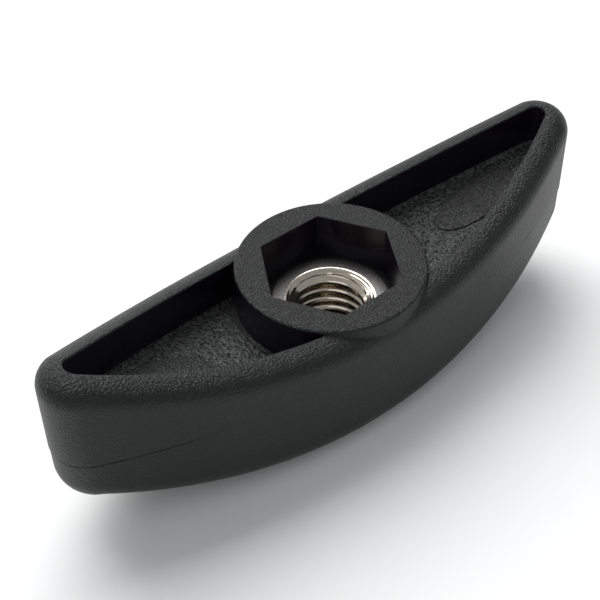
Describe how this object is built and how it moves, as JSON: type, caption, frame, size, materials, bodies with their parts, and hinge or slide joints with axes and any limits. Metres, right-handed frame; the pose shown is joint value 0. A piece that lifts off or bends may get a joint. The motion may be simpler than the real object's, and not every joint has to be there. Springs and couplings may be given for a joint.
{
  "type": "wing nut",
  "caption": "Hand-tightened wing nut: a bowed plastic wing handle with two open pockets and a steel hexagon nut in its round boss.",
  "frame": {"origin": "on the thread axis, at the flat of the closed bearing face", "axes": "+Z along the thread axis, out of the open mouth of the boss; +X along the wing"},
  "size_m": [0.0806, 0.0248, 0.0255],
  "materials": {
    "moulded_plastic": "fine spark-eroded grain, slightly glossy",
    "nut_steel": "dull turned face, bright cut thread"
  },
  "bodies": {
    "root": {"handle": "moulded_plastic", "hex_nut": "nut_steel"}
  },
  "joints": []
}
